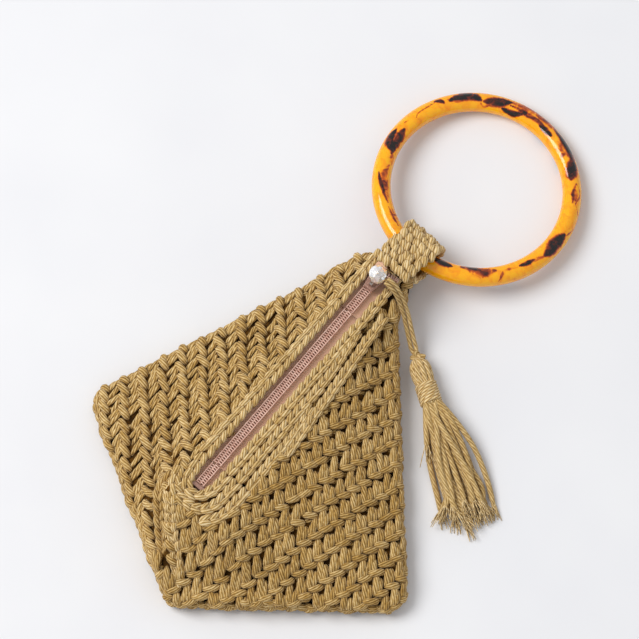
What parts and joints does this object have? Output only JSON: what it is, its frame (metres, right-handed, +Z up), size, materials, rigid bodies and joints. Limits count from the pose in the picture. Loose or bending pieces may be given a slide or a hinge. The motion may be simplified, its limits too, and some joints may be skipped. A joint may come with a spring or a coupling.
{
  "type": "crocheted zip wristlet pouch",
  "caption": "Kite-shaped crocheted zip pouch lying on its back, with a ring handle on a short tab, a zip mouth whose lips fold open, and a beaded tassel pull.",
  "frame": {"origin": "on the underside of the back panel, where the diagonals of the kite outline cross", "axes": "+Z up from the table the pouch lies on, +Y along the pouch towards the ring handle, +X to the right of the zip"},
  "size_m": [0.1736, 0.2679, 0.0386],
  "materials": {
    "crochet_cotton": "thick crocheted cotton yarn, khaki",
    "tassel_cotton": "loose twisted cotton yarn, khaki",
    "zip_tape": "woven polyester tape, dusty rose brown",
    "zip_coil": "nylon coil, satin",
    "plated_metal": "plated die-cast zinc, satin",
    "tortoiseshell_resin": "polished cast resin, amber with dark blotches",
    "clear_acrylic": "faceted clear acrylic"
  },
  "bodies": {
    "pouch": {"back_panel": "crochet_cotton", "front_left_panel": "crochet_cotton", "front_right_panel": "crochet_cotton", "mouth_end_lower": "crochet_cotton", "mouth_end_upper": "crochet_cotton", "tab_strap": "crochet_cotton", "tab_anchor": "crochet_cotton", "zip_tape_left_lower": "zip_tape", "zip_tape_left_upper": "zip_tape", "zip_tape_right_lower": "zip_tape", "zip_tape_right_upper": "zip_tape", "zip_coil_left_lower": "zip_coil", "zip_coil_left_upper": "zip_coil", "zip_coil_right_lower": "zip_coil", "zip_coil_right_upper": "zip_coil", "zip_top_stop_left": "plated_metal", "zip_top_stop_right": "plated_metal", "zip_bottom_stop": "plated_metal"},
    "left_lip": {"lip_left": "crochet_cotton", "zip_tape_left_lip": "zip_tape", "zip_coil_left_lip": "zip_coil"},
    "right_lip": {"lip_right": "crochet_cotton", "zip_tape_right_lip": "zip_tape", "zip_coil_right_lip": "zip_coil"},
    "slider": {"slider_body": "plated_metal", "slider_bail": "plated_metal", "pull_loop": "tassel_cotton"},
    "pull": {"pull_bead": "clear_acrylic", "tassel_cord_left": "tassel_cotton", "tassel_cord_right": "tassel_cotton"},
    "tassel": {"tassel_knot": "tassel_cotton", "tassel_head": "tassel_cotton", "tassel_wrap": "tassel_cotton", "tassel_skirt": "tassel_cotton"},
    "tab": {"tab_loop": "crochet_cotton"},
    "ring": {"ring_handle": "tortoiseshell_resin"}
  },
  "joints": [
    {"name": "slider_travel", "type": "slide", "parent": "pouch", "child": "slider", "axis": [-0.1039, -0.9881, 0.1132], "range_m": [0, 0.113]},
    {"name": "pull_lift", "type": "hinge", "parent": "slider", "child": "pull", "pos_m": [0.00162, 0.10777, 0.03052], "axis": [-0.6561, -0.7547, 0], "range_deg": [0, 150]},
    {"name": "tassel_swing", "type": "hinge", "parent": "pull", "child": "tassel", "pos_m": [0.03059, 0.09213, 0.0066], "axis": [0, 0, 1], "range_deg": [0, 60]},
    {"name": "left_lip_open", "type": "hinge", "parent": "pouch", "child": "left_lip", "pos_m": [-0.02026, 0.00239, 0.03575], "axis": [-0.1171, -0.9864, 0.115], "range_deg": [0, 75]},
    {"name": "right_lip_open", "type": "hinge", "parent": "pouch", "child": "right_lip", "pos_m": [0.00781, -0.00102, 0.0318], "axis": [0.0168, 0.9948, -0.1006], "range_deg": [0, 75]},
    {"name": "handle_swing", "type": "hinge", "parent": "pouch", "child": "tab", "pos_m": [0.00411, 0.11863, 0.02556], "axis": [0.9829, -0.1839, 0], "range_deg": [0, 95]},
    {"name": "ring_spin", "type": "hinge", "parent": "tab", "child": "ring", "pos_m": [0.01351, 0.16888, 0.0088], "axis": [0.0211, 0.1129, 0.9934], "continuous": true}
  ],
  "couplings": [
    {"joint": "pull_lift", "follows": "slider_travel", "rad_per_m": 23.16},
    {"joint": "right_lip_open", "follows": "left_lip_open", "ratio": 1}
  ]
}
